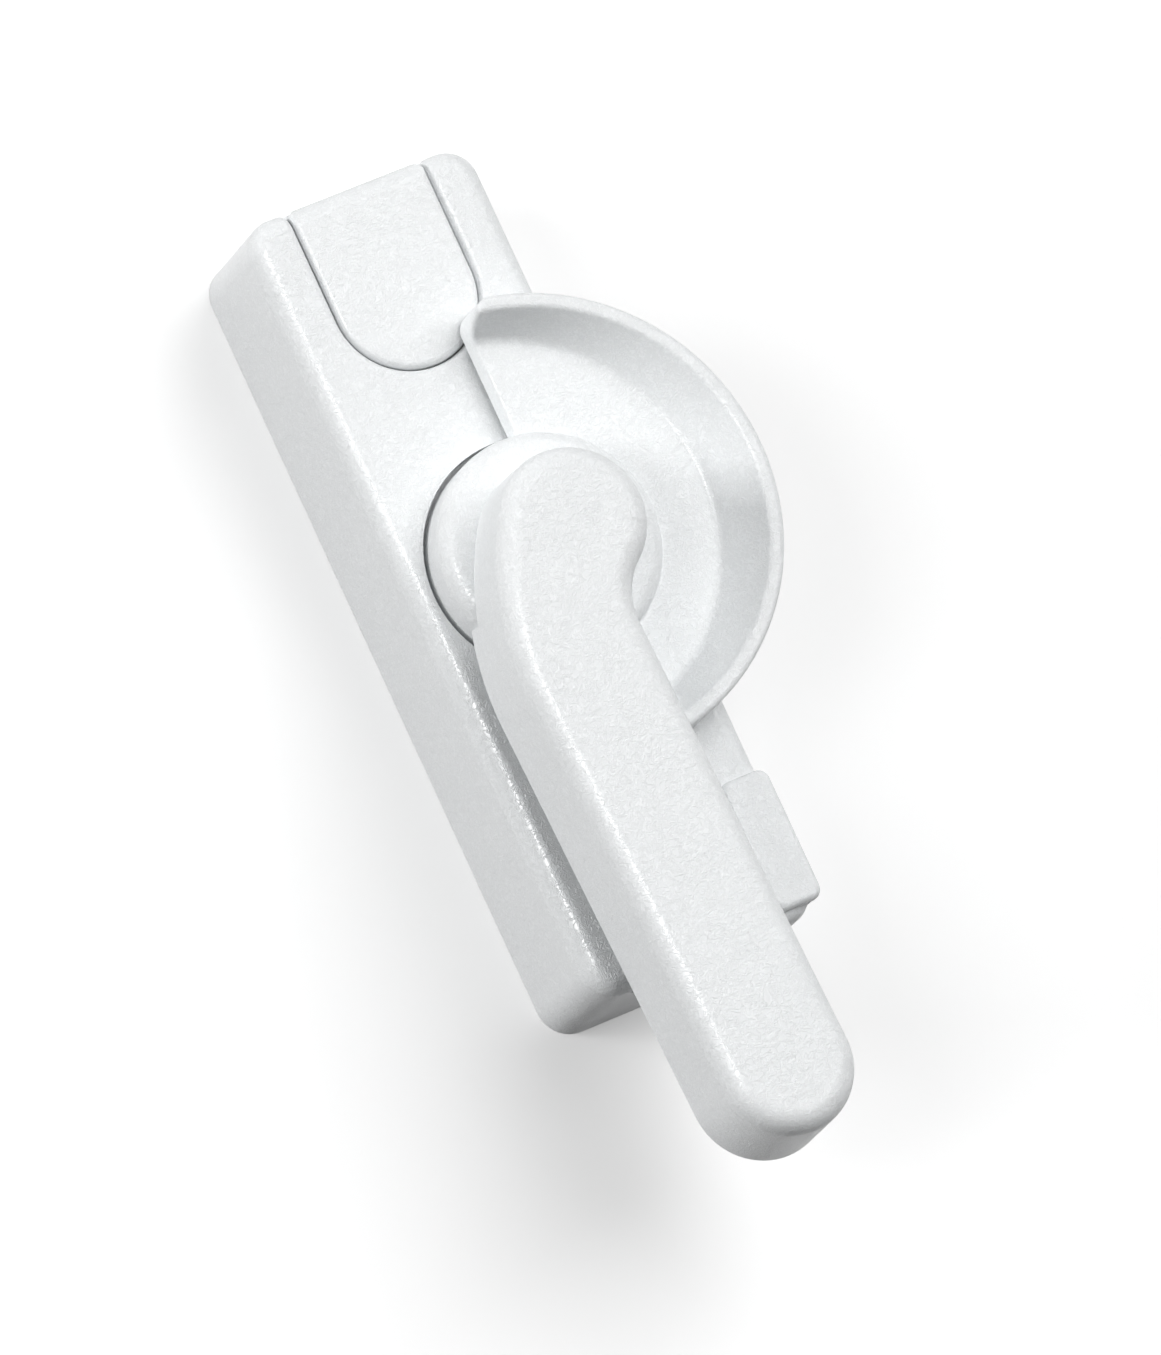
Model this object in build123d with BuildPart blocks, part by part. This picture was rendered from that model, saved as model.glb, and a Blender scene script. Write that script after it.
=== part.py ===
from build123d import *

import math
import os

# Crescent lock for a sliding window, lying on its back. Millimetres.
# The origin is on the mounting plane, on the axis that the handle turns about.
# +Z points out of the sash, +Y along the housing towards the upper screw cover,
# and +X towards the keeper that the crescent hooks over.

# Cutting sketches run past what they cut by cut_margin, and edges are picked to within touch
cut_margin = 1.0
touch = 0.01
countersink_angle = 90.0

# Housing: a hollow casting with rounded corners
housing_length = 86.0
housing_width = 26.0
housing_depth = 18.0
housing_x = -1.5
housing_y = -1.0
corner_radius = 3.4
front_fillet = 2.0
wall = 2.0

# Screw seats at both ends, each under a tongue-shaped cover
screw_spacing = 61.0
screw_hole_radius = 2.65
screw_head_radius = 5.2
seat_depth = 3.0
seat_radius = 7.75
seat_fillet = 0.8
cover_gap = 0.15
cover_edge_fillet = 0.6
cover_corner_fillet = 1.2
cover_skin = 1.5
cover_end_skin = 3.0
cover_peg_radius = 1.3
cover_peg_length = 3.2
cover_peg_spacing = 9.0
cover_peg_offset = 8.0
screw_boss_radius = 5.8

# Base plate that closes the back
plate_thickness = 1.5
plate_clearance = 0.15
plate_screw_radius = 1.25
plate_screw_head_radius = 2.2
plate_screw_length = 7.0
plate_boss_radius = 2.2
plate_screw_inset = 2.75
small_recess_size = 2.2
small_recess_width = 0.5
small_recess_depth = 0.7
head_clearance = 0.05

# Pocket, hub and crescent
pocket_depth = 2.5
hub_radius = 11.7
hub_gap = 0.5
hub_top = 22.8
hub_fillet = 1.7
dish_clearance = 0.5
dish_thickness = 2.2
rim_radius = 24.4
rim_centre = (-0.4, 1.2)
rim_land = 1.5
rim_top = 24.9
dish_radius = 21.2
dish_centre = (-3.0, 1.5)
chord_x = 1.8
tip_radius = 2.0
rim_fillet = 0.6
dish_fillet = 1.2
chord_fillet = 0.5
hub_cove = 0.35

# Handle
handle_lean = 1.7
handle_front = 32.4
handle_fillet = 2.2
handle_draft = 1.5
head_radius = 7.9
arm_offset = -5.5
arm_radius = 7.3
arm_reach = 65.6
arm_clearance = 1.3
arm_rise = 2.0
neck_radius = 7.0
shoulder_radius = 33.0
hub_relief = 0.4
handle_wall = 2.3
rib_thickness = 1.4
rib_count = 3

# Spindle line, all on the turning axis
journal_radius = 5.5
running_fit = 0.03
bush_wall = 1.0
flange_radius = 9.5
flange_thickness = 0.95
seat_gap = 0.05
square_size = 7.8
square_clearance = 0.03
socket_depth = 4.2
socket_gap = 0.3
spindle_bore_radius = 2.2
cam_thickness = 2.5
wave_thickness = 0.45
wave_gap = 0.02
wave_outer_inset = 0.5
wave_bore_gap = 0.25
washer_thickness = 1.2
washer_radius = 7.5
lock_washer_thickness = 1.0
lock_washer_radius = 3.9
lock_washer_slit = 0.6
axis_screw_radius = 2.0
axis_screw_head_radius = 4.0
axis_screw_head_height = 2.4
axis_screw_head_fillet = 0.8
axis_recess_size = 4.4
axis_recess_width = 0.9
axis_recess_depth = 1.5
thread_clearance = 0.02
screw_engagement = 3.3
cam_bottom = 6.7

# Click cam, leaf spring and stop pins
leaf_thickness = 0.5
leaf_height = 2.3
leaf_play = 1.0
flat_depth = 1.1
leaf_rise = 0.1
leaf_leg_gap = 0.2
leaf_half_length = 10.6
pad_inner = 8.6
pad_outer = 10.1
lug_overhang = 1.3
lug_angle = -105.0
lug_half_angle = 10.0
stop_pin_radius = 1.0
stop_pin_clearance = 1.0
stop_gap = 0.05
stop_boss_radius = 2.1
stop_pin_end_gap = 0.2
turn_angle = 180.0

# Safety slide on the right-hand edge
knob_length = 14.3
knob_end_inset = 1.2
knob_wrap = 4.95
knob_skin = 0.8
knob_side_skin = 0.5
knob_drop = 13.2
knob_slide_gap = 0.06
knob_corner_radius = 1.2
knob_fillet = 0.7
stem_length = 3.5
stem_height = 2.3
stem_inset = 6.1
stem_root = 0.4
slide_travel = 3.0
engage_travel = 1.5
slot_clearance = 0.1
bar_thickness = 2.1
bar_bottom = 6.9
bar_width = 4.6
bar_tip_width = 3.0
bar_tip_overhang = 1.6
bar_wall_gap = 0.3
bar_cam_gap = 0.7
bar_shoulder_gap = 1.0
bar_tip_overlap = 3.0
guide_radius = 1.25
guide_head_radius = 2.1
guide_head_height = 1.6
guide_boss_radius = 2.4
guide_y = -24.0
guide_end_gap = 0.2
guide_washer_radius = 2.3
guide_washer_thickness = 0.4
knob_screw_radius = 0.9
knob_screw_head_radius = 1.6
knob_screw_head_height = 1.1
knob_screw_end_gap = 0.3

# Places worked out from the sizes above
housing_right = housing_x + housing_width / 2
housing_top = housing_y + housing_length / 2
housing_bottom = housing_y - housing_length / 2
inner_right = housing_right - wall
inner_width = housing_width - 2 * wall
inner_length = housing_length - 2 * wall
inner_corner = corner_radius - wall
roof = housing_depth - wall
seat_floor = housing_depth - seat_depth
seat_roof = seat_floor - wall
pocket_floor = housing_depth - pocket_depth
pocket_roof = pocket_floor - wall
pocket_radius = hub_radius + hub_gap
upper_screw = (housing_x, housing_y + screw_spacing / 2)
lower_screw = (housing_x, housing_y - screw_spacing / 2)
bush_radius = journal_radius + running_fit + bush_wall
boss_radius = bush_radius + wall
cam_top = cam_bottom + cam_thickness
boss_bottom = cam_top + wave_gap + wave_thickness + seat_gap
hub_bottom = pocket_floor + flange_thickness + seat_gap
dish_bottom = housing_depth + dish_clearance
dish_floor = dish_bottom + dish_thickness
arm_bottom = dish_bottom + arm_rise
square_socket = square_size + 2 * square_clearance
cam_radius = inner_right - leaf_thickness - leaf_play
cam_flat = cam_radius - flat_depth
leaf_x = cam_flat + seat_gap
pad_face = leaf_x + leaf_thickness + seat_gap
stop_pin_distance = cam_radius + stop_pin_clearance + stop_pin_radius
lug_reach = stop_pin_distance + lug_overhang
stop_half_angle = math.degrees(math.asin((stop_pin_radius + stop_gap) / stop_pin_distance))
first_stop = lug_angle + lug_half_angle + stop_half_angle
last_stop = lug_angle - turn_angle - lug_half_angle - stop_half_angle
knob_bottom_y = housing_bottom + knob_end_inset
knob_y = knob_bottom_y + knob_length / 2
knob_right = housing_right + knob_side_skin
knob_inner_x = housing_right - knob_wrap
stem_y = knob_bottom_y + stem_inset + stem_length / 2
bar_right = inner_right - bar_wall_gap
bar_top = bar_bottom + bar_thickness
bar_tip_left = bar_right - bar_width - bar_tip_overhang
bar_tip_x = bar_tip_left + bar_tip_width / 2
bar_tip_y = -math.sqrt((cam_radius + bar_cam_gap) ** 2 - bar_tip_left**2) - slide_travel
bar_bottom_y = stem_y - stem_length / 2
guide_x = bar_right - bar_width / 2


def polar(radius, degrees):
    """Point at a distance and an angle from the turning axis."""
    turn = math.radians(degrees)
    return (radius * math.cos(turn), radius * math.sin(turn))


def tongue(radius, centre, end_y):
    """Sketch a tongue: a half round at its centre and straight sides out to the end."""
    length = abs(end_y - centre[1])
    with Locations(centre):
        Circle(radius)
    with Locations((centre[0], (centre[1] + end_y) / 2)):
        Rectangle(2 * radius, length)


def cross_recess(size, width):
    """Sketch the cross that a screwdriver fits."""
    Rectangle(size, width)
    Rectangle(width, size)


os.makedirs("parts", exist_ok=True)

# Outer form of the housing, which the covers share
with BuildPart() as envelope:
    with BuildSketch(Plane.XY):
        with Locations((housing_x, housing_y)):
            RectangleRounded(housing_width, housing_length, corner_radius)
    extrude(amount=housing_depth)
    fillet(envelope.faces().sort_by(Axis.Z)[-1].edges(), front_fillet)

corners = [(side, end) for side in (-1, 1) for end in (-1, 1)]
plate_screw_places = [
    (housing_x + side * (inner_width / 2 - plate_screw_inset),
     housing_y + end * (inner_length / 2 - plate_screw_inset))
    for side, end in corners
]
stop_places = [polar(stop_pin_distance, first_stop), polar(stop_pin_distance, last_stop)]

with BuildPart() as housing:
    add(envelope.part)
    # Hollow from the back
    with BuildSketch(Plane.XY):
        with Locations((housing_x, housing_y)):
            RectangleRounded(inner_width, inner_length, inner_corner)
    extrude(amount=roof, mode=Mode.SUBTRACT)
    # The roof is carried down under the pocket and under both screw seats
    with BuildSketch(Plane.XY.offset(pocket_roof)):
        Circle(pocket_radius + wall)
        with Locations((housing_x, housing_y)):
            Rectangle(inner_width, inner_length, mode=Mode.INTERSECT)
    extrude(amount=roof - pocket_roof)
    for screw, end_y in ((upper_screw, housing_top), (lower_screw, housing_bottom)):
        with BuildSketch(Plane.XY.offset(seat_roof)):
            tongue(seat_radius + wall, screw, end_y)
            with Locations((housing_x, housing_y)):
                Rectangle(inner_width, inner_length, mode=Mode.INTERSECT)
        extrude(amount=roof - seat_roof)
    # Bosses: bearing, mounting screws, plate screws, stop pins, slide guide
    with BuildSketch(Plane.XY.offset(boss_bottom)):
        Circle(boss_radius)
        with Locations(*stop_places):
            Circle(stop_boss_radius)
    extrude(amount=pocket_floor - boss_bottom)
    with BuildSketch(Plane.XY.offset(plate_thickness)):
        with Locations(upper_screw, lower_screw):
            Circle(screw_boss_radius)
        with Locations(*plate_screw_places):
            Circle(plate_boss_radius)
        for (x, y), (side, end) in zip(plate_screw_places, corners):
            with Locations((x + side * plate_screw_inset / 2, y + end * plate_screw_inset / 2)):
                Rectangle(plate_screw_inset, plate_screw_inset)
    extrude(amount=roof - plate_thickness)
    with BuildSketch(Plane.XY.offset(bar_top + slot_clearance)):
        with Locations((guide_x, guide_y)):
            Circle(guide_boss_radius)
    extrude(amount=roof - bar_top - slot_clearance)
    # Pads on the right-hand wall that the leaf spring bears on
    with BuildSketch(Plane.XY.offset(cam_bottom)):
        for side in (-1, 1):
            with Locations(((pad_face + inner_right + wall / 2) / 2, side * (pad_inner + pad_outer) / 2)):
                Rectangle(inner_right + wall / 2 - pad_face, pad_outer - pad_inner)
    extrude(amount=pocket_floor - cam_bottom)
    # Round pocket for the hub, bearing bore and screw seats
    with BuildSketch(Plane.XY.offset(pocket_floor)):
        Circle(pocket_radius)
    extrude(amount=pocket_depth, mode=Mode.SUBTRACT)
    with BuildSketch(Plane.XY.offset(boss_bottom)):
        Circle(bush_radius + thread_clearance)
    extrude(amount=pocket_floor - boss_bottom, mode=Mode.SUBTRACT)
    for screw, end_y in ((upper_screw, housing_top + cut_margin), (lower_screw, housing_bottom - cut_margin)):
        with BuildSketch(Plane.XY.offset(seat_floor)):
            tongue(seat_radius, screw, end_y)
        extrude(amount=seat_depth, mode=Mode.SUBTRACT)
    seat_edges = housing.edges().filter_by(lambda e: abs(e.center().Z - housing_depth) < touch)
    seat_arcs = seat_edges.filter_by(lambda e: e.geom_type == GeomType.CIRCLE
                                     and abs(e.radius - seat_radius) < touch)
    fillet(seat_arcs, seat_fillet)
    with Locations((*upper_screw, seat_floor), (*lower_screw, seat_floor)):
        CounterSinkHole(screw_hole_radius, screw_head_radius, counter_sink_angle=countersink_angle)
    # Peg holes of the covers
    with BuildSketch(Plane.XY.offset(seat_roof)):
        for screw, side in ((upper_screw, 1), (lower_screw, -1)):
            with Locations((screw[0], screw[1] + side * cover_peg_offset)):
                with GridLocations(cover_peg_spacing, 1, 2, 1):
                    Circle(cover_peg_radius + slot_clearance)
    extrude(amount=wall, mode=Mode.SUBTRACT)
    # Pilot holes
    with BuildSketch(Plane.XY.offset(plate_thickness)):
        with Locations(*plate_screw_places):
            Circle(plate_screw_radius + thread_clearance)
    extrude(amount=plate_screw_length, mode=Mode.SUBTRACT)
    with BuildSketch(Plane.XY.offset(boss_bottom)):
        with Locations(*stop_places):
            Circle(stop_pin_radius + thread_clearance)
    extrude(amount=pocket_roof - boss_bottom, mode=Mode.SUBTRACT)
    with BuildSketch(Plane.XY.offset(bar_top + slot_clearance)):
        with Locations((guide_x, guide_y)):
            Circle(guide_radius + thread_clearance)
    extrude(amount=seat_roof - bar_top, mode=Mode.SUBTRACT)
    # Slot in the right-hand wall for the stem of the safety knob
    with BuildSketch(Plane.YZ.offset(inner_right)):
        with Locations((stem_y + (slide_travel + engage_travel) / 2, bar_top + stem_height / 2)):
            Rectangle(stem_length + slide_travel + engage_travel + 2 * slot_clearance,
                      stem_height + 2 * slot_clearance)
    extrude(amount=wall, mode=Mode.SUBTRACT)
housing.part.label = "housing"
export_step(housing.part, "parts/housing.step")

with BuildPart() as base_plate:
    with BuildSketch(Plane.XY):
        with Locations((housing_x, housing_y)):
            RectangleRounded(inner_width - 2 * plate_clearance, inner_length - 2 * plate_clearance,
                             inner_corner)
        with Locations(upper_screw, lower_screw):
            Circle(screw_hole_radius, mode=Mode.SUBTRACT)
    extrude(amount=plate_thickness)
    with Locations(Plane.XY.rotated((180, 0, 0))):
        with Locations(*[(x, -y) for x, y in plate_screw_places]):
            CounterSinkHole(plate_screw_radius + thread_clearance, plate_screw_head_radius,
                            counter_sink_angle=countersink_angle)
base_plate.part.label = "base_plate"
export_step(base_plate.part, "parts/base_plate.step")

plate_head_height = plate_screw_head_radius - plate_screw_radius - head_clearance
with BuildPart() as base_plate_screws:
    with BuildSketch(Plane.XY):
        with Locations(*plate_screw_places):
            Circle(plate_screw_radius)
    extrude(amount=plate_screw_length)
    for place in plate_screw_places:
        with Locations((*place, plate_head_height / 2)):
            Cone(plate_screw_head_radius - head_clearance, plate_screw_radius, plate_head_height)
    with BuildSketch(Plane.XY):
        with Locations(*plate_screw_places):
            cross_recess(small_recess_size, small_recess_width)
    extrude(amount=small_recess_depth, mode=Mode.SUBTRACT)
base_plate_screws.part.label = "base_plate_screws"
export_step(base_plate_screws.part, "parts/base_plate_screws.step")

# The two screw covers share one form, turned end for end
for cover_name, screw, end_y, outward in (
    ("upper_screw_cover", upper_screw, housing_top, 1),
    ("lower_screw_cover", lower_screw, housing_bottom, -1),
):
    with BuildPart() as cover:
        with BuildSketch(Plane.XY.offset(seat_floor)):
            tongue(seat_radius - cover_gap, screw, end_y)
        extrude(amount=seat_depth)
        fillet(cover.edges().filter_by(Axis.Z).group_by(Axis.Y)[-1 if outward > 0 else 0],
               cover_corner_fillet)
        front_edges = cover.faces().sort_by(Axis.Z)[-1].edges().sort_by(Axis.Y, reverse=outward > 0)
        fillet(front_edges[1:], cover_edge_fillet)
        add(envelope.part, mode=Mode.INTERSECT)
        with BuildSketch(Plane.XY.offset(seat_floor)):
            tongue(seat_radius - cover_gap - cover_skin, screw, end_y - outward * cover_end_skin)
        extrude(amount=seat_depth - cover_skin, mode=Mode.SUBTRACT)
        with BuildSketch(Plane.XY.offset(seat_floor - cover_peg_length)):
            with Locations((screw[0], screw[1] + outward * cover_peg_offset)):
                with GridLocations(cover_peg_spacing, 1, 2, 1):
                    Circle(cover_peg_radius)
        extrude(amount=cover_peg_length + seat_depth - cover_skin)
    cover.part.label = cover_name
    export_step(cover.part, f"parts/{cover_name}.step")

with BuildPart() as bearing_bush:
    with BuildSketch(Plane.XY.offset(boss_bottom)):
        Circle(bush_radius)
    extrude(amount=pocket_floor - boss_bottom)
    with BuildSketch(Plane.XY.offset(pocket_floor)):
        Circle(flange_radius)
    extrude(amount=flange_thickness)
    with BuildSketch(Plane.XY.offset(boss_bottom)):
        Circle(journal_radius + running_fit)
    extrude(amount=hub_bottom - boss_bottom, mode=Mode.SUBTRACT)
bearing_bush.part.label = "bearing_bush"
export_step(bearing_bush.part, "parts/bearing_bush.step")

# Crescent: dish floor, eccentric hooked rim and hub, cast as one
arm_right = arm_offset + arm_radius
lean = math.tan(math.radians(handle_lean))
dish_edge = arm_right + arm_clearance
with BuildPart() as crescent:
    with BuildSketch(Plane.XY.offset(dish_bottom)) as rim_outline:
        with Locations(rim_centre):
            Circle(rim_radius)
        with BuildLine():
            reach = rim_radius + rim_centre[1] + cut_margin
            Polyline((chord_x, 0), (chord_x, reach), (reach, reach), (reach, -reach),
                     (dish_edge + reach * lean, -reach), (dish_edge, 0), close=True)
        make_face(mode=Mode.INTERSECT)
        fillet(rim_outline.vertices().group_by(Axis.X)[0].sort_by(Axis.Y)[-1], tip_radius)
    extrude(amount=rim_top - dish_bottom)
    # Hollow of the dish: its wall leans out, steeply by the tip and gently on the keeper side
    with BuildSketch(Plane.XY.offset(dish_floor)):
        with Locations(dish_centre):
            Circle(dish_radius)
    with BuildSketch(Plane.XY.offset(rim_top)):
        with Locations(rim_centre):
            Circle(rim_radius - rim_land)
    loft(mode=Mode.SUBTRACT)
    fillet(crescent.edges().filter_by(lambda e: e.geom_type == GeomType.CIRCLE
                                      and abs(e.radius - dish_radius) < touch), dish_fillet)
    chord_edges = crescent.edges().filter_by(lambda e: abs(e.center().X - chord_x) < touch
                                             and dish_floor - touch < e.center().Z < rim_top - touch
                                             and e.bounding_box().min.Z > dish_bottom + touch)
    fillet(chord_edges, chord_fillet)
    fillet(crescent.faces().sort_by(Axis.Z)[-1].edges(), rim_fillet)
    with BuildSketch(Plane.XY.offset(hub_bottom)):
        Circle(hub_radius)
    extrude(amount=hub_top - hub_bottom)
    fillet(crescent.edges().filter_by(lambda e: e.geom_type == GeomType.CIRCLE
                                      and abs(e.radius - hub_radius) < touch
                                      and abs(e.center().Z - dish_floor) < touch), hub_cove)
    fillet(crescent.faces().filter_by(Plane.XY).filter_by(lambda f: abs(f.center().Z - hub_top) < touch)
           .edges(), hub_fillet)
    with BuildSketch(Plane.XY.offset(hub_bottom)):
        Rectangle(square_socket, square_socket)
    extrude(amount=hub_top - hub_bottom, mode=Mode.SUBTRACT)
crescent.part.label = "crescent"
export_step(crescent.part, "parts/crescent.step")

# Handle: its outline is drawn in a frame that leans with the arm
leaning = Plane.XY.rotated((0, 0, handle_lean))
arm_left = arm_offset - arm_radius
end_centre = (arm_offset, arm_radius - arm_reach)
neck_centre_x = arm_right + neck_radius
neck_centre_y = -math.sqrt((head_radius + neck_radius) ** 2 - neck_centre_x**2)
neck_angle = math.degrees(math.atan2(neck_centre_y, neck_centre_x))
# The shoulder is one large arc, tangent to the circle of the head and to the left side of the arm
shoulder_centre_x = arm_left + shoulder_radius
shoulder_centre_y = -math.sqrt((shoulder_radius - head_radius) ** 2 - shoulder_centre_x**2)
shoulder_start = math.degrees(math.atan2(-shoulder_centre_y, -shoulder_centre_x))
with BuildPart() as handle:
    with BuildSketch(leaning.offset(arm_bottom)):
        with BuildLine():
            CenterArc((0, 0), head_radius, neck_angle, shoulder_start - neck_angle)
            CenterArc((neck_centre_x, neck_centre_y), neck_radius, 180, neck_angle)
            Line((arm_right, neck_centre_y), (arm_right, end_centre[1]))
            CenterArc(end_centre, arm_radius, 180, 180)
            Line((arm_left, end_centre[1]), (arm_left, shoulder_centre_y))
            CenterArc((shoulder_centre_x, shoulder_centre_y), shoulder_radius, shoulder_start,
                      180 - shoulder_start)
        make_face()
    extrude(amount=handle_front - arm_bottom, taper=handle_draft)
    fillet(handle.faces().sort_by(Axis.Z)[-1].edges(), handle_fillet)
    # Relief over the hub: the head sits on top of it and the arm steps down around it
    with BuildSketch(Plane.XY.offset(arm_bottom)):
        Circle(hub_radius + hub_relief)
    extrude(amount=hub_top - arm_bottom, mode=Mode.SUBTRACT)
    # Hollow underside of the arm, with cross ribs
    pocket_top_y = -hub_radius - hub_relief - handle_wall - arm_radius
    with BuildSketch(leaning.offset(arm_bottom)):
        half = arm_radius - handle_wall
        with Locations(end_centre, (arm_offset, pocket_top_y)):
            Circle(half)
        with Locations((arm_offset, (end_centre[1] + pocket_top_y) / 2)):
            Rectangle(2 * half, pocket_top_y - end_centre[1])
        pitch = (pocket_top_y - end_centre[1] + 2 * half) / (rib_count + 1)
        with Locations((arm_offset, (end_centre[1] + pocket_top_y) / 2)):
            with GridLocations(1, pitch, 1, rib_count):
                Rectangle(2 * half + cut_margin, rib_thickness, mode=Mode.SUBTRACT)
    extrude(amount=handle_front - handle_wall - arm_bottom, mode=Mode.SUBTRACT)
    # Square socket for the spindle, and the threaded hole above it
    with BuildSketch(Plane.XY.offset(hub_top)):
        Rectangle(square_socket, square_socket)
    extrude(amount=socket_depth, mode=Mode.SUBTRACT)
    with BuildSketch(Plane.XY.offset(hub_top + socket_depth)):
        Circle(axis_screw_radius + thread_clearance)
    extrude(amount=screw_engagement + socket_gap, mode=Mode.SUBTRACT)
handle.part.label = "handle"
export_step(handle.part, "parts/handle.step")

# Spindle: a round journal between two squares, drilled through for the axis screw
spindle_top = hub_top + socket_depth - socket_gap
with BuildPart() as spindle:
    with BuildSketch(Plane.XY.offset(cam_top)):
        Circle(journal_radius)
    extrude(amount=hub_bottom - cam_top)
    with BuildSketch(Plane.XY.offset(cam_bottom)):
        Rectangle(square_size, square_size)
        Circle(journal_radius, mode=Mode.INTERSECT)
    extrude(amount=spindle_top - cam_bottom)
    with BuildSketch(Plane.XY.offset(cam_bottom)):
        Circle(spindle_bore_radius)
    extrude(amount=spindle_top - cam_bottom, mode=Mode.SUBTRACT)
spindle.part.label = "spindle"
export_step(spindle.part, "parts/spindle.step")

with BuildPart() as wave_washer:
    with BuildSketch(Plane.XY.offset(cam_top + wave_gap)):
        Circle(boss_radius - wave_outer_inset)
        Circle(journal_radius + wave_bore_gap, mode=Mode.SUBTRACT)
    extrude(amount=wave_thickness)
wave_washer.part.label = "wave_washer"
export_step(wave_washer.part, "parts/wave_washer.step")

# Click cam: two flats for the leaf spring, a stop lug and a notch for the lock bar
with BuildPart() as click_cam:
    with BuildSketch(Plane.XY.offset(cam_bottom)):
        Circle(cam_radius)
        Rectangle(2 * cam_flat, 2 * (cam_radius + cut_margin), mode=Mode.INTERSECT)
        with BuildLine():
            Polyline((0, 0), polar(lug_reach, lug_angle - lug_half_angle),
                     polar(lug_reach, lug_angle + lug_half_angle), close=True)
        make_face()
        with Locations((bar_tip_x, -cam_radius)):
            Rectangle(bar_tip_width + 2 * slot_clearance, 2 * engage_travel + bar_cam_gap,
                      mode=Mode.SUBTRACT)
        Rectangle(square_socket, square_socket, mode=Mode.SUBTRACT)
    extrude(amount=cam_thickness)
click_cam.part.label = "click_cam"
export_step(click_cam.part, "parts/click_cam.step")

# Leaf spring: a flat strip with both ends turned out round the pads
leg_reach = inner_right - leaf_x - leaf_leg_gap
with BuildPart() as leaf_spring:
    with BuildSketch(Plane.XY.offset(cam_bottom + leaf_rise)):
        with Locations((leaf_x + leaf_thickness / 2, 0)):
            Rectangle(leaf_thickness, 2 * leaf_half_length + leaf_thickness)
        for side in (-1, 1):
            with Locations((leaf_x + leg_reach / 2, side * leaf_half_length)):
                Rectangle(leg_reach, leaf_thickness)
    extrude(amount=leaf_height)
leaf_spring.part.label = "leaf_spring"
export_step(leaf_spring.part, "parts/leaf_spring.step")

with BuildPart() as stop_pins:
    with BuildSketch(Plane.XY.offset(cam_bottom + stop_pin_end_gap)):
        with Locations(*stop_places):
            Circle(stop_pin_radius)
    extrude(amount=pocket_roof - cam_bottom - 2 * stop_pin_end_gap)
stop_pins.part.label = "stop_pins"
export_step(stop_pins.part, "parts/stop_pins.step")

with BuildPart() as retaining_washer:
    with BuildSketch(Plane.XY.offset(cam_bottom - washer_thickness)):
        Circle(washer_radius)
        Circle(spindle_bore_radius, mode=Mode.SUBTRACT)
    extrude(amount=washer_thickness)
retaining_washer.part.label = "retaining_washer"
export_step(retaining_washer.part, "parts/retaining_washer.step")

screw_seat = cam_bottom - washer_thickness - lock_washer_thickness
with BuildPart() as lock_washer:
    with BuildSketch(Plane.XY.offset(screw_seat)):
        Circle(lock_washer_radius)
        Circle(spindle_bore_radius, mode=Mode.SUBTRACT)
        with Locations((lock_washer_radius, 0)):
            Rectangle(2 * lock_washer_radius, lock_washer_slit, mode=Mode.SUBTRACT)
    extrude(amount=lock_washer_thickness)
lock_washer.part.label = "lock_washer"
export_step(lock_washer.part, "parts/lock_washer.step")

with BuildPart() as axis_screw:
    with BuildSketch(Plane.XY.offset(screw_seat - axis_screw_head_height)):
        Circle(axis_screw_head_radius)
    extrude(amount=axis_screw_head_height)
    fillet(axis_screw.faces().sort_by(Axis.Z)[0].edges(), axis_screw_head_fillet)
    with BuildSketch(Plane.XY.offset(screw_seat)):
        Circle(axis_screw_radius)
    extrude(amount=hub_top + socket_depth + screw_engagement - screw_seat)
    with BuildSketch(Plane.XY.offset(screw_seat - axis_screw_head_height)):
        cross_recess(axis_recess_size, axis_recess_width)
    extrude(amount=axis_recess_depth, mode=Mode.SUBTRACT)
axis_screw.part.label = "axis_screw"
export_step(axis_screw.part, "parts/axis_screw.step")

# Safety knob: wraps over the front right-hand edge of the housing
with BuildPart() as safety_knob:
    with BuildSketch(Plane.XY.offset(housing_depth + knob_skin)):
        with Locations(((knob_inner_x + knob_right) / 2, knob_y)):
            RectangleRounded(knob_right - knob_inner_x, knob_length, knob_corner_radius)
    extrude(amount=-knob_drop)
    fillet(safety_knob.faces().sort_by(Axis.Z)[-1].edges(), knob_fillet)
    with BuildSketch(Plane.XZ.offset(-knob_bottom_y - knob_length)):
        with Locations((housing_x, housing_depth / 2)):
            RectangleRounded(housing_width + 2 * knob_slide_gap, housing_depth + 2 * knob_slide_gap,
                             front_fillet + knob_slide_gap)
    extrude(amount=knob_length, mode=Mode.SUBTRACT)
    # Stem that reaches in through the slot and lies on the lock bar
    with BuildSketch(Plane.YZ.offset(housing_right + stem_root)):
        with Locations((stem_y, bar_top + stem_height / 2)):
            Rectangle(stem_length, stem_height)
    extrude(amount=bar_right - bar_width - housing_right - stem_root)
    with BuildSketch(Plane.XY.offset(bar_top)):
        with Locations((guide_x, stem_y)):
            Circle(knob_screw_radius + thread_clearance)
    extrude(amount=stem_height, mode=Mode.SUBTRACT)
safety_knob.part.label = "safety_knob"
export_step(safety_knob.part, "parts/safety_knob.step")

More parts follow.
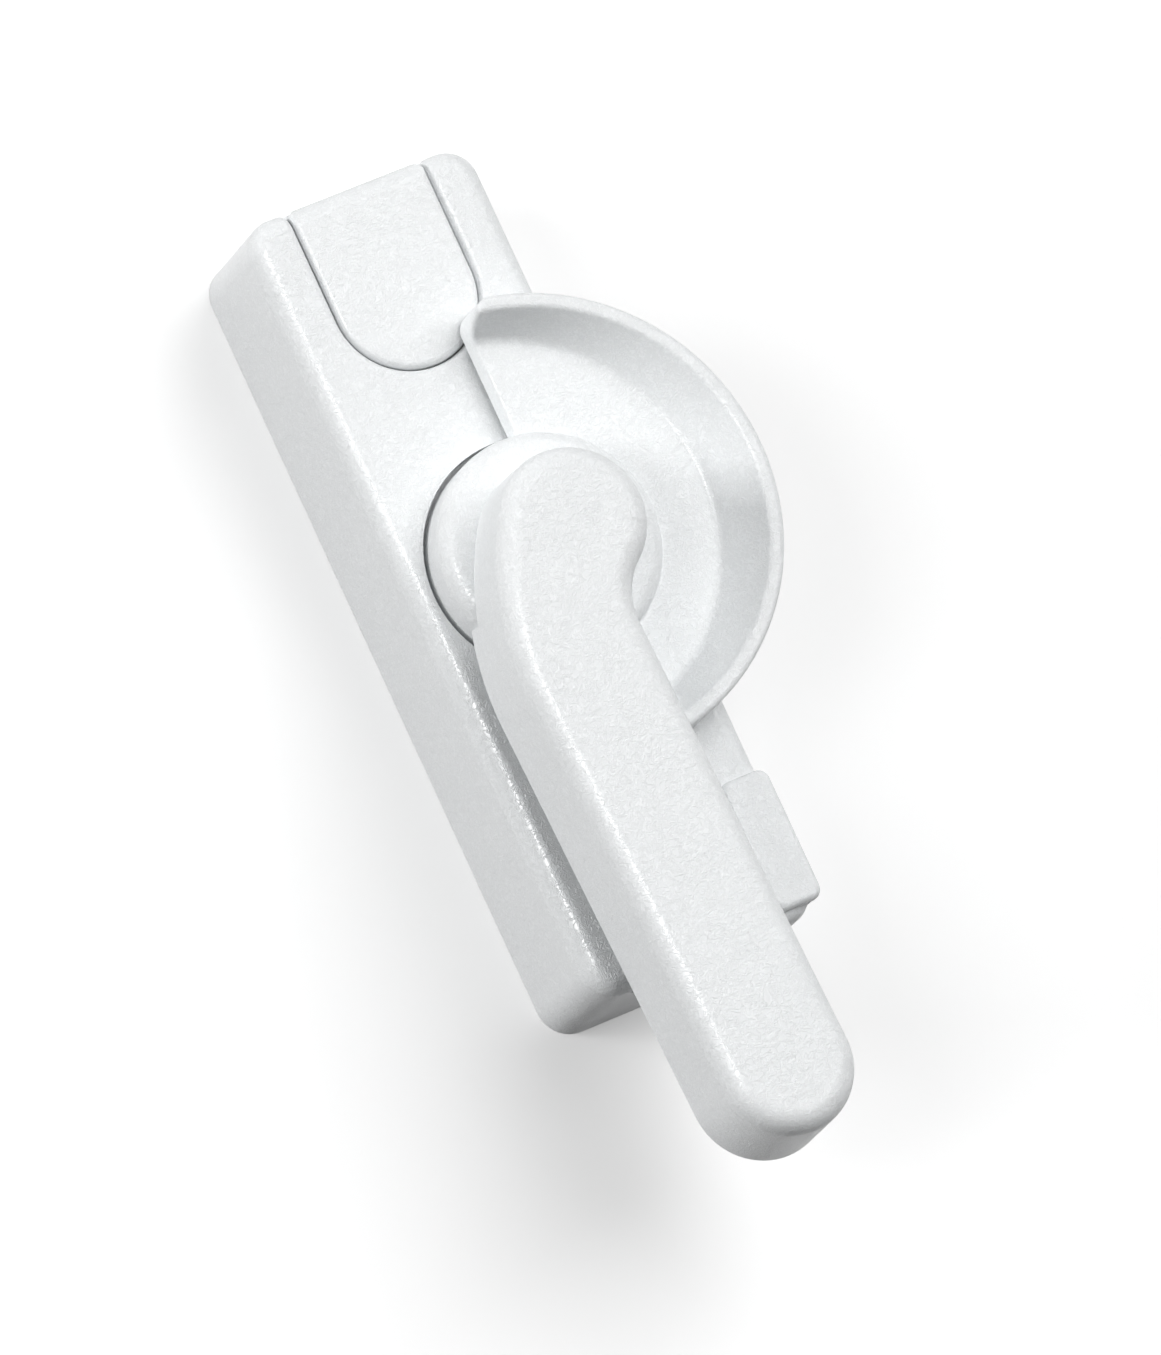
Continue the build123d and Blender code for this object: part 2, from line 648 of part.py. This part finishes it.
# Lock bar: carries the knob's stem, and its tip points at the notch of the cam
bar_shoulder_y = -leaf_half_length - slide_travel - engage_travel - bar_shoulder_gap
with BuildPart() as lock_bar:
    with BuildSketch(Plane.XY.offset(bar_bottom)):
        with Locations((bar_right - bar_width / 2, (bar_bottom_y + bar_shoulder_y) / 2)):
            Rectangle(bar_width, bar_shoulder_y - bar_bottom_y)
        with Locations((bar_tip_x, (bar_tip_y + bar_shoulder_y - bar_tip_overlap) / 2)):
            Rectangle(bar_tip_width, bar_tip_y - bar_shoulder_y + bar_tip_overlap)
        with Locations((guide_x, stem_y)):
            Circle(knob_screw_radius + thread_clearance, mode=Mode.SUBTRACT)
        with Locations((guide_x, guide_y - (slide_travel + engage_travel) / 2)):
            SlotCenterToCenter(slide_travel + engage_travel, 2 * guide_radius + 2 * slot_clearance,
                               rotation=90, mode=Mode.SUBTRACT)
    extrude(amount=bar_thickness)
lock_bar.part.label = "lock_bar"
export_step(lock_bar.part, "parts/lock_bar.step")

guide_washer_bottom = bar_bottom - seat_gap - guide_washer_thickness
with BuildPart() as slide_guide_washer:
    with BuildSketch(Plane.XY.offset(guide_washer_bottom)):
        with Locations((guide_x, guide_y)):
            Circle(guide_washer_radius)
            Circle(guide_radius + slot_clearance, mode=Mode.SUBTRACT)
    extrude(amount=guide_washer_thickness)
slide_guide_washer.part.label = "slide_guide_washer"
export_step(slide_guide_washer.part, "parts/slide_guide_washer.step")

with BuildPart() as slide_guide_screw:
    with BuildSketch(Plane.XY.offset(guide_washer_bottom - guide_head_height)):
        with Locations((guide_x, guide_y)):
            Circle(guide_head_radius)
    extrude(amount=guide_head_height)
    with BuildSketch(Plane.XY.offset(guide_washer_bottom)):
        with Locations((guide_x, guide_y)):
            Circle(guide_radius)
    extrude(amount=seat_roof - guide_washer_bottom - guide_end_gap)
    with BuildSketch(Plane.XY.offset(guide_washer_bottom - guide_head_height)):
        with Locations((guide_x, guide_y)):
            cross_recess(small_recess_size, small_recess_width)
    extrude(amount=small_recess_depth, mode=Mode.SUBTRACT)
slide_guide_screw.part.label = "slide_guide_screw"
export_step(slide_guide_screw.part, "parts/slide_guide_screw.step")

with BuildPart() as knob_screw:
    with BuildSketch(Plane.XY.offset(bar_bottom - knob_screw_head_height)):
        with Locations((guide_x, stem_y)):
            Circle(knob_screw_head_radius)
    extrude(amount=knob_screw_head_height)
    with BuildSketch(Plane.XY.offset(bar_bottom)):
        with Locations((guide_x, stem_y)):
            Circle(knob_screw_radius)
    extrude(amount=bar_thickness + stem_height - knob_screw_end_gap)
    with BuildSketch(Plane.XY.offset(bar_bottom - knob_screw_head_height)):
        with Locations((guide_x, stem_y)):
            cross_recess(small_recess_size, small_recess_width)
    extrude(amount=small_recess_depth, mode=Mode.SUBTRACT)
knob_screw.part.label = "knob_screw"
export_step(knob_screw.part, "parts/knob_screw.step")
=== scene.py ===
import math

import bpy
from mathutils import Matrix, Vector

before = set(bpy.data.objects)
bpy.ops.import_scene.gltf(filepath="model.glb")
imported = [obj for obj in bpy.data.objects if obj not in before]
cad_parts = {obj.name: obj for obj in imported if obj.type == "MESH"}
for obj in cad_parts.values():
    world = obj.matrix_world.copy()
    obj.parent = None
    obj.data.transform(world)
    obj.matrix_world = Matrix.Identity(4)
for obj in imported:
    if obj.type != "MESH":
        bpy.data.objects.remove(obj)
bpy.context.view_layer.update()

# Crescent lock for a sliding window, seen from its front with the handle down.
# Metres, in the frame of the CAD model: the back lies on z = 0 and +Z points out of the sash.

MM = 0.001

# The photograph's width and the focal length fitted to it, in its pixels, and the sensor's width in mm
PHOTO_WIDTH = 1161
FOCAL_PIXELS = 14936.0
SENSOR_WIDTH = 36.0

# Where the camera stands, in radians: turned about +Z from +X, and tilted away from +Z.
# It then rolls about its own line of sight.
VIEW_AZIMUTH = 3.504241
VIEW_TILT = 0.366519
VIEW_ROLL = -0.433262

# Its distance from the origin, and its step to its own right and up
VIEW_DISTANCE = 1513.4 * MM
VIEW_RIGHT = 8.570 * MM
VIEW_UP = -7.878 * MM

# Size of the white finishes' wrinkle. The real one, about 0.4 to 0.5 mm, is too fine to show in the render,
# so it is drawn a little coarser.
WRINKLE_SIZE = 0.55 * MM


def srgb(code):
    """Linear colour of an sRGB hex value."""
    channels = [int(code[i:i + 2], 16) / 255 for i in (1, 3, 5)]
    linear = [c / 12.92 if c <= 0.04045 else ((c + 0.055) / 1.055) ** 2.4 for c in channels]
    return (*linear, 1.0)


def add_node(tree, kind, settings=None, **links):
    """Add a shader node, set its sockets and properties, and link its inputs."""
    node = tree.nodes.new(kind)
    for name, value in (settings or {}).items():
        if name in node.inputs:
            node.inputs[name].default_value = value
        else:
            setattr(node, name, value)
    for name, source in links.items():
        tree.links.new(source, node.inputs[name.replace("_", " ")])
    return node


def new_material(name):
    """A new material, with its tree, its Principled shader and its Object coordinates."""
    material = bpy.data.materials.new(name)
    material.use_nodes = True
    tree = material.node_tree
    shader = tree.nodes["Principled BSDF"]
    place = add_node(tree, "ShaderNodeTexCoord")
    return material, tree, shader, place.outputs["Object"]


def white_wrinkle_coat(name, depth, roughness, ior):
    """White finish with a fine wrinkle: soft crests that wander where a noise crosses its middle value.

    The crests are painted a touch lighter than the ground between them, a painted highlight on the crests
    that helps them to show.
    """
    # The noise runs from 0 to 1, and a crest fades out where the noise is this far from its middle
    noise_middle = 0.5
    crest_reach = 0.1
    material, tree, shader, place = new_material(name)
    wander = add_node(tree, "ShaderNodeTexNoise", {
        "Scale": 1 / WRINKLE_SIZE, "Detail": 1.0, "Distortion": 1.2,
    }, Vector=place)
    offset = add_node(tree, "ShaderNodeMath", {"operation": "SUBTRACT"})
    tree.links.new(wander.outputs["Fac"], offset.inputs[0])
    offset.inputs[1].default_value = noise_middle
    fold = add_node(tree, "ShaderNodeMath", {"operation": "ABSOLUTE"})
    tree.links.new(offset.outputs[0], fold.inputs[0])
    crest = add_node(tree, "ShaderNodeMapRange", {
        "From Max": crest_reach, "To Min": 1.0, "To Max": 0.0, "interpolation_type": "SMOOTHSTEP",
    }, Value=fold.outputs[0])
    # Painted highlight: the crests get a lighter colour than the ground, in place of the light their relief
    # would catch
    tint = add_node(tree, "ShaderNodeValToRGB", {}, Fac=crest.outputs["Result"])
    tint.color_ramp.elements[0].color = srgb("#edeff0")
    tint.color_ramp.elements[1].color = srgb("#f4f6f7")
    bump = add_node(tree, "ShaderNodeBump", {"Strength": 1.0, "Distance": depth},
                    Height=crest.outputs["Result"])
    tree.links.new(tint.outputs["Color"], shader.inputs["Base Color"])
    tree.links.new(bump.outputs["Normal"], shader.inputs["Normal"])
    shader.inputs["Roughness"].default_value = roughness
    shader.inputs["IOR"].default_value = ior
    # A little under the usual 0.5, matched to the photograph's soft highlights
    shader.inputs["Specular IOR Level"].default_value = 0.35
    return material


def textured_powder_coat():
    """White polyester powder coat on zinc: a fine wrinkle that baked in, satin, with soft highlights."""
    return white_wrinkle_coat("textured_powder_coat", depth=0.026 * MM, roughness=0.28, ior=1.5)


def moulded_abs():
    """White ABS, moulded in an etched tool: a little smoother than the coat round it."""
    return white_wrinkle_coat("moulded_abs", depth=0.023 * MM, roughness=0.27, ior=1.54)


def zinc_plated_steel():
    """Pressed and turned steel with bright zinc plating, dulled and faintly clouded."""
    cloud_size = 6 * MM
    material, tree, shader, place = new_material("zinc_plated_steel")
    shader.inputs["Metallic"].default_value = 1.0
    clouds = add_node(tree, "ShaderNodeTexNoise", {"Scale": 1 / cloud_size, "Detail": 3.0}, Vector=place)
    tint = add_node(tree, "ShaderNodeValToRGB", {}, Fac=clouds.outputs["Fac"])
    tint.color_ramp.elements[0].color = srgb("#a9abac")
    tint.color_ramp.elements[1].color = srgb("#c6c8c9")
    tree.links.new(tint.outputs["Color"], shader.inputs["Base Color"])
    shader.inputs["Roughness"].default_value = 0.38
    return material


def spring_strip():
    """Hardened spring steel, blue-grey from its tempering and lightly oiled."""
    # Streaks from rolling. They run level, along the leaf spring, which stands on edge.
    streak_length = 2 * MM
    streak_slimness = 12
    material, tree, shader, place = new_material("spring_strip")
    shader.inputs["Metallic"].default_value = 1.0
    rolled = add_node(tree, "ShaderNodeMapping", {"Scale": (1, 1, streak_slimness)}, Vector=place)
    streaks = add_node(tree, "ShaderNodeTexNoise", {"Scale": 1 / streak_length, "Detail": 2.0},
                       Vector=rolled.outputs["Vector"])
    tint = add_node(tree, "ShaderNodeValToRGB", {}, Fac=streaks.outputs["Fac"])
    tint.color_ramp.elements[0].color = srgb("#6d6f73")
    tint.color_ramp.elements[1].color = srgb("#85878a")
    tree.links.new(tint.outputs["Color"], shader.inputs["Base Color"])
    shader.inputs["Roughness"].default_value = 0.32
    return material


def acetal():
    """Natural acetal, turned or moulded: milky white and slightly waxy."""
    mark_size = 1.2 * MM
    mark_depth = 0.02 * MM
    material, tree, shader, place = new_material("acetal")
    shader.inputs["Base Color"].default_value = srgb("#e6e3d8")
    shader.inputs["Roughness"].default_value = 0.45
    shader.inputs["IOR"].default_value = 1.48
    marks = add_node(tree, "ShaderNodeTexNoise", {"Scale": 1 / mark_size, "Detail": 1.0}, Vector=place)
    bump = add_node(tree, "ShaderNodeBump", {"Strength": 0.3, "Distance": mark_depth},
                    Height=marks.outputs["Fac"])
    tree.links.new(bump.outputs["Normal"], shader.inputs["Normal"])
    return material


def dress(nodes, material):
    """Give CAD nodes a material."""
    for node in nodes:
        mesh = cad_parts[node].data
        mesh.materials.clear()
        mesh.materials.append(material)


dress(("housing", "crescent", "handle"), textured_powder_coat())
dress(("upper_screw_cover", "lower_screw_cover", "safety_knob"), moulded_abs())
dress(("base_plate", "base_plate_screws", "spindle", "click_cam", "stop_pins", "retaining_washer",
       "axis_screw", "lock_bar", "knob_screw", "slide_guide_screw"), zinc_plated_steel())
dress(("wave_washer", "leaf_spring", "lock_washer", "slide_guide_washer"), spring_strip())
dress(("bearing_bush",), acetal())


# Floor and studio

def camera_sees(tree):
    """1 where the camera looks, directly or through a reflection or clear glass."""
    path = add_node(tree, "ShaderNodeLightPath")
    glossy = add_node(tree, "ShaderNodeMath", {"operation": "MAXIMUM"})
    tree.links.new(path.outputs["Is Camera Ray"], glossy.inputs[0])
    tree.links.new(path.outputs["Is Glossy Ray"], glossy.inputs[1])
    seen = add_node(tree, "ShaderNodeMath", {"operation": "MAXIMUM"})
    tree.links.new(glossy.outputs[0], seen.inputs[0])
    tree.links.new(path.outputs["Is Transmission Ray"], seen.inputs[1])
    return seen.outputs[0]


def paper_floor():
    """Matt white paper that the lock lies on; the camera sees it lifted to white, its bounce is greyer."""
    size = 3.0
    gap_below_lock = 0.05 * MM
    seen_shade = 0.86
    bounce_shade = 0.21
    seen_lift = 0.29
    bpy.ops.mesh.primitive_plane_add(size=size, location=(0, 0, 0))
    floor = bpy.context.object
    floor.name = "paper_floor"
    floor.data.transform(Matrix.Translation((0, 0, -gap_below_lock)))
    material = bpy.data.materials.new("matt_white_paper")
    material.use_nodes = True
    tree = material.node_tree
    tree.nodes.remove(tree.nodes["Principled BSDF"])
    seen = camera_sees(tree)
    shade = add_node(tree, "ShaderNodeMapRange", {"To Min": bounce_shade, "To Max": seen_shade}, Value=seen)
    paper = add_node(tree, "ShaderNodeBsdfDiffuse", {}, Color=shade.outputs["Result"])
    lift = add_node(tree, "ShaderNodeMapRange", {"To Min": 0.0, "To Max": seen_lift}, Value=seen)
    glow = add_node(tree, "ShaderNodeEmission", {"Color": srgb("#ffffff")}, Strength=lift.outputs["Result"])
    both = add_node(tree, "ShaderNodeAddShader")
    tree.links.new(paper.outputs[0], both.inputs[0])
    tree.links.new(glow.outputs[0], both.inputs[1])
    tree.links.new(both.outputs[0], tree.nodes["Material Output"].inputs["Surface"])
    floor.data.materials.append(material)


def studio_world():
    """White all round: full white to the camera and in reflections, and a soft even light on the lock."""
    seen_strength = 1.0
    light_on_lock = 0.065
    world = bpy.data.worlds.new("studio")
    world.use_nodes = True
    tree = world.node_tree
    sky = tree.nodes["Background"]
    strength = add_node(tree, "ShaderNodeMapRange", {"To Min": light_on_lock, "To Max": seen_strength},
                        Value=camera_sees(tree))
    sky.inputs["Color"].default_value = srgb("#ffffff")
    tree.links.new(strength.outputs["Result"], sky.inputs["Strength"])
    bpy.context.scene.world = world


def area_light(name, direction, distance, size, power):
    """Square soft light that shines on the lock from a direction, in metres and watts."""
    lamp = bpy.data.lights.new(name, "AREA")
    lamp.size = size
    lamp.energy = power
    light = bpy.data.objects.new(name, lamp)
    away = Vector(direction).normalized()
    light.rotation_euler = away.to_track_quat("Z", "Y").to_euler()
    light.location = away * distance
    bpy.context.scene.collection.objects.link(light)
    return light


def photo_camera():
    """Camera of the photograph: far away, above the lock's front and turned a little."""
    away = Vector((math.sin(VIEW_TILT) * math.cos(VIEW_AZIMUTH),
                   math.sin(VIEW_TILT) * math.sin(VIEW_AZIMUTH),
                   math.cos(VIEW_TILT)))
    level_up = (Vector((0, 1, 0)) - away * away.y).normalized()
    level_right = level_up.cross(away)
    right = math.cos(VIEW_ROLL) * level_right + math.sin(VIEW_ROLL) * level_up
    up = math.cos(VIEW_ROLL) * level_up - math.sin(VIEW_ROLL) * level_right
    lens = bpy.data.cameras.new("photo_camera")
    lens.sensor_fit = "HORIZONTAL"
    lens.sensor_width = SENSOR_WIDTH
    lens.lens = FOCAL_PIXELS * SENSOR_WIDTH / PHOTO_WIDTH
    lens.clip_end = 20.0
    camera = bpy.data.objects.new("photo_camera", lens)
    bpy.context.scene.collection.objects.link(camera)
    turn = Matrix((right, up, away)).transposed().to_4x4()
    place = right * VIEW_RIGHT + up * VIEW_UP + away * VIEW_DISTANCE
    camera.matrix_world = Matrix.Translation(place) @ turn
    bpy.context.scene.camera = camera


paper_floor()
studio_world()
# The main light, large and high, and a small weak one from the left
area_light("key_light", direction=(0.6, 0.3, 1.0), distance=1.5, size=1.3, power=20.3)
area_light("window_light", direction=(-0.8, 0.15, 1.0), distance=1.2, size=0.4, power=2.8)
# Low from the left, and not seen reflected, so that it leaves no glare on the flat tops
fill = area_light("fill_light", direction=(-1.0, 0.5, 0.2), distance=1.2, size=0.35, power=8.4)
fill.visible_glossy = False
# Only seen reflected, as a thin bright line along the rounded edges. It stands well off the vertical, so that
# the flat tops don't glare from straight above.
ridge = area_light("ridge_light", direction=(-0.32, 0.13, 1.0), distance=1.2, size=0.24, power=11.0)
ridge.visible_diffuse = False
photo_camera()
bpy.context.scene.view_settings.view_transform = "Standard"
